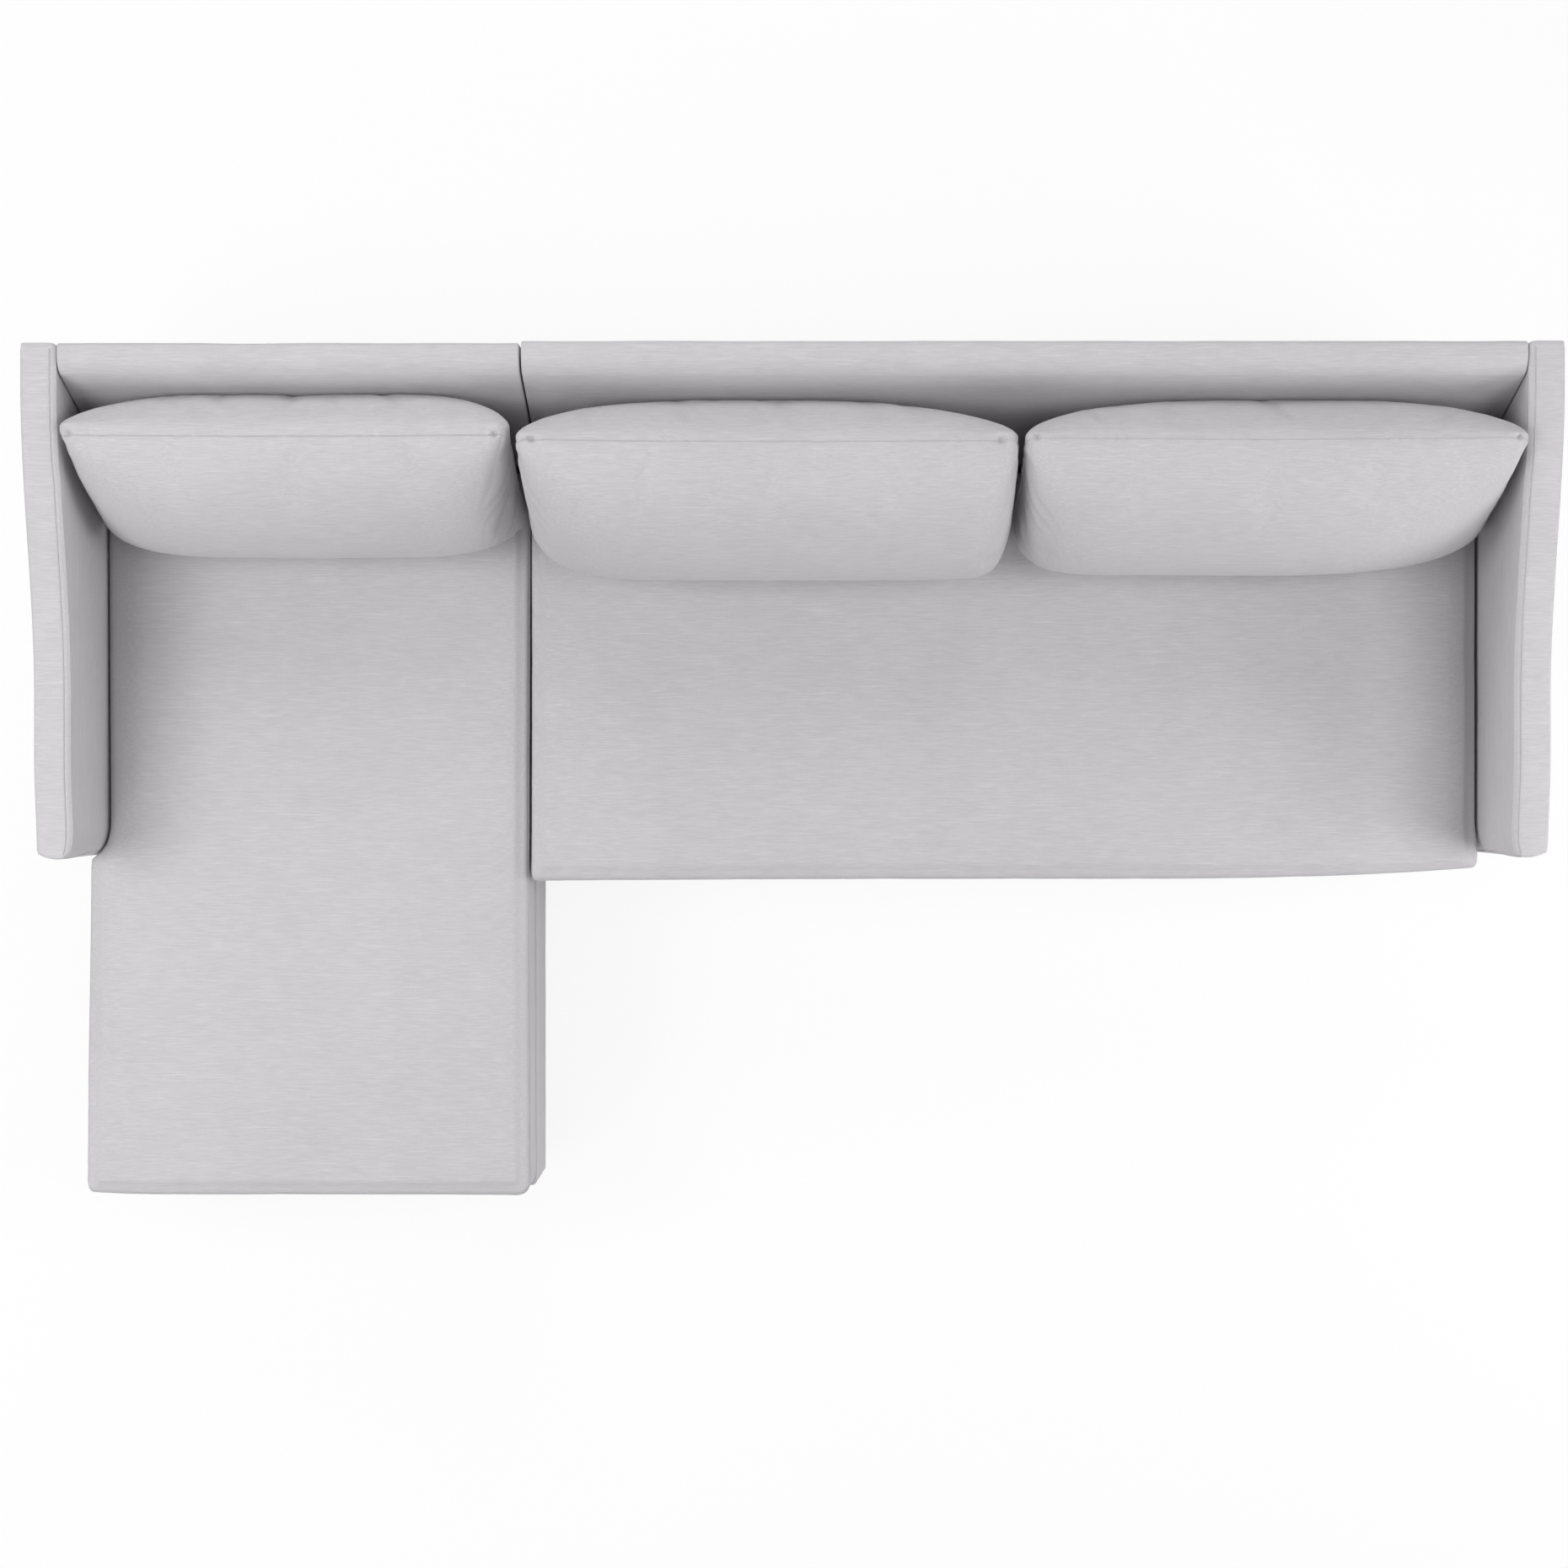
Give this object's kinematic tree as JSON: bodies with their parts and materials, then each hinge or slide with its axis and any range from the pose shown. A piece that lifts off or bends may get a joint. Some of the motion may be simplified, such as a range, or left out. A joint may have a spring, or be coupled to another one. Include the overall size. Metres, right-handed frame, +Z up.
{
  "type": "sleeper sectional sofa",
  "caption": "L-shaped upholstered sectional sofa with a left chaise, a bench seat, loose back pillows and a bed that pulls out on wheels.",
  "frame": {"origin": "middle of the footprint, on the floor", "axes": "+X to the right seen from the front, +Y towards the backs, +Z up"},
  "size_m": [2.9, 1.666, 0.8789],
  "materials": {
    "grey_fabric": "matt woven upholstery with a fine slub",
    "foam": "open-cell upholstery foam",
    "plain_wood": "unfinished frame wood",
    "dust_cloth": "thin non-woven cloth",
    "webbing": "woven strap",
    "black_plastic": "fine grained moulding",
    "steel": "zinc plated",
    "mattress_ticking": "woven ticking"
  },
  "bodies": {
    "sofa": {"chaise_leg_front_left": "black_plastic", "chaise_leg_front_right": "black_plastic", "chaise_leg_rear_left": "black_plastic", "chaise_leg_rear_right": "black_plastic", "chaise_left_rail": "plain_wood", "chaise_right_rail": "plain_wood", "chaise_front_rail": "plain_wood", "chaise_rear_rail": "plain_wood", "chaise_cross_rail": "plain_wood", "chaise_webbing": "webbing", "chaise_dust_cover": "dust_cloth", "chaise_front_cover": "grey_fabric", "chaise_right_cover": "grey_fabric", "chaise_left_cover": "grey_fabric", "chaise_back_frame": "plain_wood", "chaise_back_foam": "foam", "chaise_back_cover": "grey_fabric", "left_arm_frame": "plain_wood", "left_arm_cover": "grey_fabric", "sofa_leg_front_left": "black_plastic", "sofa_leg_front_right": "black_plastic", "sofa_leg_rear_left": "black_plastic", "sofa_leg_rear_right": "black_plastic", "sofa_left_panel": "plain_wood", "sofa_right_panel": "plain_wood", "sofa_front_rail": "plain_wood", "sofa_rear_rail": "plain_wood", "sofa_webbing": "webbing", "sofa_back_frame": "plain_wood", "sofa_back_foam": "foam", "sofa_back_cover": "grey_fabric", "right_arm_frame": "plain_wood", "right_arm_cover": "grey_fabric", "bed_channel_left": "steel", "bed_channel_right": "steel", "connector_bracket_front": "steel", "connector_bracket_rear": "steel", "connector_hook_front": "steel", "connector_hook_rear": "steel"},
    "chaise_cushion": {"chaise_seat_cushion": "grey_fabric"},
    "bench_cushion": {"bench_seat_cushion": "grey_fabric"},
    "chaise_pillow": {"chaise_back_pillow": "grey_fabric"},
    "middle_pillow": {"middle_back_pillow": "grey_fabric"},
    "right_pillow": {"right_back_pillow": "grey_fabric"},
    "bed": {"bed_front_board": "plain_wood", "bed_front_cover": "grey_fabric", "bed_pull_strap": "webbing", "bed_left_rail": "plain_wood", "bed_right_rail": "plain_wood", "bed_rear_rail": "plain_wood", "bed_slats": "plain_wood", "bed_mattress": "mattress_ticking", "bed_axle_front_left": "steel", "bed_axle_front_right": "steel", "bed_axle_rear_left": "steel", "bed_axle_rear_right": "steel"},
    "wheel_front_left": {"bed_wheel_front_left": "black_plastic"},
    "wheel_front_right": {"bed_wheel_front_right": "black_plastic"},
    "wheel_rear_left": {"bed_wheel_rear_left": "black_plastic"},
    "wheel_rear_right": {"bed_wheel_rear_right": "black_plastic"}
  },
  "joints": [
    {"name": "bed_pull", "type": "slide", "parent": "sofa", "child": "bed", "axis": [0, -1, 0], "range_m": [0, 0.66]},
    {"name": "wheel_front_left_spin", "type": "hinge", "parent": "bed", "child": "wheel_front_left", "pos_m": [-0.4127, -0.041, 0.03], "axis": [1, 0, 0], "continuous": true},
    {"name": "wheel_front_right_spin", "type": "hinge", "parent": "bed", "child": "wheel_front_right", "pos_m": [1.2882, -0.041, 0.03], "axis": [1, 0, 0], "continuous": true},
    {"name": "wheel_rear_left_spin", "type": "hinge", "parent": "bed", "child": "wheel_rear_left", "pos_m": [-0.4127, 0.539, 0.03], "axis": [1, 0, 0], "continuous": true},
    {"name": "wheel_rear_right_spin", "type": "hinge", "parent": "bed", "child": "wheel_rear_right", "pos_m": [1.2882, 0.539, 0.03], "axis": [1, 0, 0], "continuous": true},
    {"name": "chaise_cushion_lift", "type": "slide", "parent": "sofa", "child": "chaise_cushion", "axis": [0, 0, 1], "range_m": [0, 0.45]},
    {"name": "bench_cushion_lift", "type": "slide", "parent": "sofa", "child": "bench_cushion", "axis": [0, 0, 1], "range_m": [0, 0.45]},
    {"name": "chaise_pillow_lift", "type": "slide", "parent": "chaise_cushion", "child": "chaise_pillow", "axis": [0, 0, 1], "range_m": [0, 0.45]},
    {"name": "middle_pillow_lift", "type": "slide", "parent": "bench_cushion", "child": "middle_pillow", "axis": [0, 0, 1], "range_m": [0, 0.45]},
    {"name": "right_pillow_lift", "type": "slide", "parent": "bench_cushion", "child": "right_pillow", "axis": [0, 0, 1], "range_m": [0, 0.45]}
  ],
  "couplings": [
    {"joint": "wheel_front_left_spin", "follows": "bed_pull", "rad_per_m": 33.333},
    {"joint": "wheel_front_right_spin", "follows": "bed_pull", "rad_per_m": 33.333},
    {"joint": "wheel_rear_left_spin", "follows": "bed_pull", "rad_per_m": 33.333},
    {"joint": "wheel_rear_right_spin", "follows": "bed_pull", "rad_per_m": 33.333}
  ]
}
